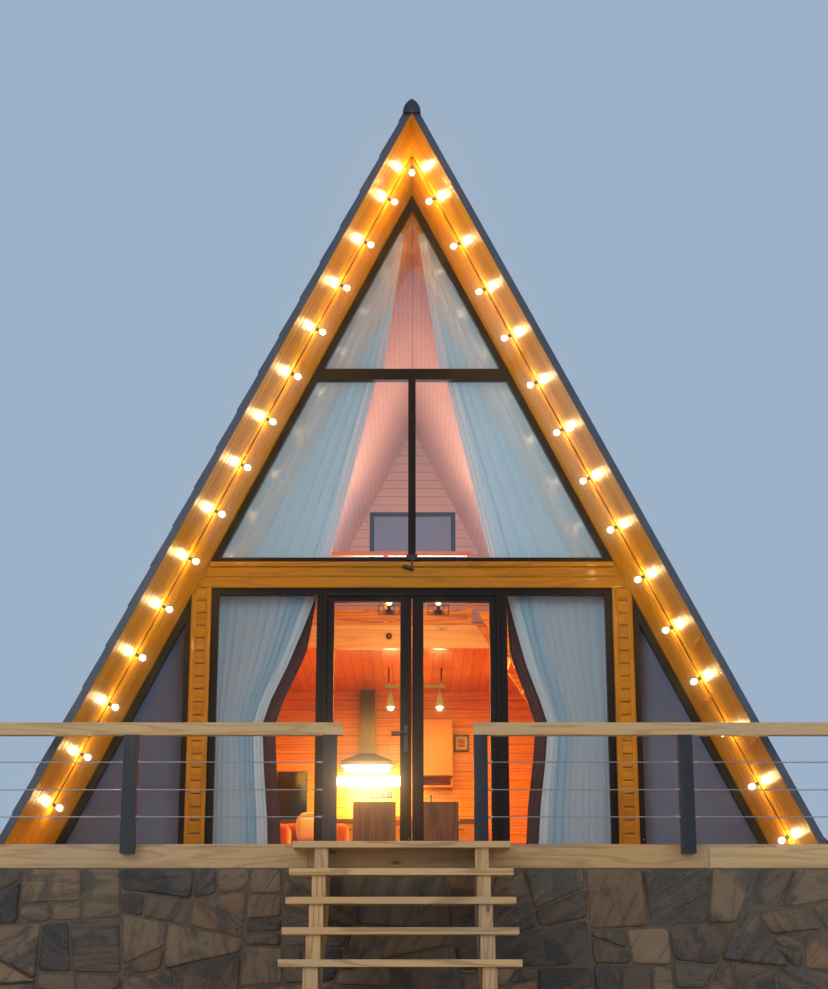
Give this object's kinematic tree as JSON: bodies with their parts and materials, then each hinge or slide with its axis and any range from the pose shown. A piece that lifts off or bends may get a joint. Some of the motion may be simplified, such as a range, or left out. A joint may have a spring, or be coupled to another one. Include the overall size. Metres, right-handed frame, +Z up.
{
  "type": "a-frame cabin",
  "caption": "Timber A-frame cabin with a glazed gable, double doors and loft, on a stone plinth with a railed terrace and front steps.",
  "frame": {"origin": "ground level on the centre line, at the outer plane of the glazed facade; the point lies on the bottom face of the cross wall under the facade", "axes": "+X to the right seen from the front, +Y from the facade into the cabin, +Z up"},
  "size_m": [7.1, 10.47, 7.2889],
  "materials": {
    "stone": "irregular quarried slabs with mortar joints",
    "raw_pine": "weathered, unsealed",
    "varnished_pine": "golden, clear gloss varnish",
    "lining_pine": "pale boards, satin",
    "floor_pine": "satin boards",
    "deck_wood": "weathered boards",
    "dark_wood": "dark stain, satin",
    "dark_steel": "satin anthracite",
    "frame_paint": "satin anthracite",
    "roof_metal": "matte tile-form sheet",
    "verge_metal": "satin slate blue",
    "cable_steel": "bright",
    "window_glass": "clear sealed unit",
    "black_plastic": "moulded",
    "bulb_glass": "lit, warm white",
    "curtain": "thin white voile",
    "kitchen_front": "smooth satin",
    "hood_steel": "brushed",
    "upholstery": "woven",
    "track_white": "smooth"
  },
  "bodies": {
    "cabin": {"plinth_front_wall": "stone", "plinth_cross_wall": "stone", "plinth_terrace_ends": "stone", "plinth_side_walls": "stone", "plinth_rear_wall": "stone", "deck_joists": "raw_pine", "deck_boards": "deck_wood", "deck_fascia": "raw_pine", "sill_plates": "raw_pine", "cabin_floor": "floor_pine", "step_stringers": "raw_pine", "step_treads": "raw_pine", "railing_posts": "dark_steel", "handrails": "raw_pine", "railing_cables": "cable_steel", "roof_panel_left": "lining_pine", "roof_panel_right": "lining_pine", "roof_sheet_left": "roof_metal", "roof_sheet_right": "roof_metal", "soffit_left": "varnished_pine", "soffit_right": "varnished_pine", "lining_left": "lining_pine", "lining_right": "lining_pine", "verge_trims": "verge_metal", "ridge_cap": "verge_metal", "facade_posts": "varnished_pine", "facade_beam": "varnished_pine", "side_light_left": "frame_paint", "side_light_right": "frame_paint", "door_frame": "frame_paint", "corner_windows": "frame_paint", "upper_window": "frame_paint", "lower_glass": "window_glass", "upper_glass": "window_glass", "floodlight": "black_plastic", "rear_wall": "lining_pine", "rear_window": "frame_paint", "rear_glass": "window_glass", "loft_floor": "lining_pine", "loft_railing": "varnished_pine", "loft_stair_stringers": "varnished_pine", "loft_stair_treads": "varnished_pine", "kitchen_units": "kitchen_front", "range_hood": "hood_steel", "ceiling_lamps": "black_plastic", "picture_frame": "dark_wood", "dining_table": "varnished_pine", "dining_chairs": "dark_wood", "armchair": "upholstery", "curtain_tracks": "track_white", "curtains_lower": "curtain", "curtains_upper": "curtain", "festoon_cord": "black_plastic", "festoon_holders": "black_plastic", "festoon_bulbs": "bulb_glass"},
    "left_door": {"door_leaf_left": "frame_paint", "door_glass_left": "window_glass", "door_handle": "dark_steel"},
    "right_door": {"door_leaf_right": "frame_paint", "door_glass_right": "window_glass"}
  },
  "joints": [
    {"name": "left_door_hinge", "type": "hinge", "parent": "cabin", "child": "left_door", "pos_m": [-0.733, 0.0995, 2.4], "axis": [0, 0, 1], "range_deg": [0, 90]},
    {"name": "right_door_hinge", "type": "hinge", "parent": "cabin", "child": "right_door", "pos_m": [0.733, 0.0995, 2.4], "axis": [0, 0, -1], "range_deg": [0, 90]}
  ]
}
